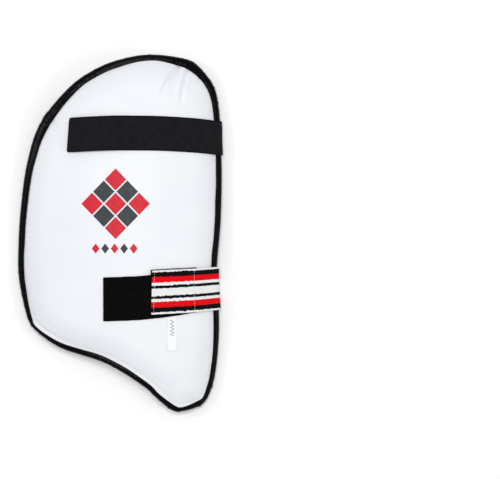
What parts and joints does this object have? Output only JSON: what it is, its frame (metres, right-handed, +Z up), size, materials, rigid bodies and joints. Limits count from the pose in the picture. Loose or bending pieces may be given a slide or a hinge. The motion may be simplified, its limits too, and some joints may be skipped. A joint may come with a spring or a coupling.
{
  "type": "cricket thigh guard",
  "caption": "Moulded thigh pad for a batter with a white face, cotton back, black bound edge and elastic straps fastened by hook and loop.",
  "frame": {"origin": "centre of the bounding box on the surface it lies on", "axes": "+Z up through the white face, +Y towards the top of the guard, +X across it to the edge that the straps come round"},
  "size_m": [0.2292, 0.3978, 0.0469],
  "materials": {
    "white_face": "smooth white faced fabric, slightly glossy",
    "cotton": "soft off-white brushed cotton",
    "black_trim": "glossy black faced tape",
    "black_elastic": "woven black elastic",
    "striped_elastic": "woven elastic in red, white and black stripes",
    "black_loop": "black hook and loop tape",
    "white_label": "smooth white ribbon"
  },
  "bodies": {
    "root": {"front_panel": "white_face", "back_panel": "cotton", "edge_binding": "black_trim", "upper_strap": "black_elastic", "lower_strap": "striped_elastic", "upper_loop_patch": "black_loop", "lower_loop_patch": "black_loop", "upper_hook_tape": "black_loop", "lower_hook_tape": "black_loop", "size_label": "white_label"}
  },
  "joints": []
}
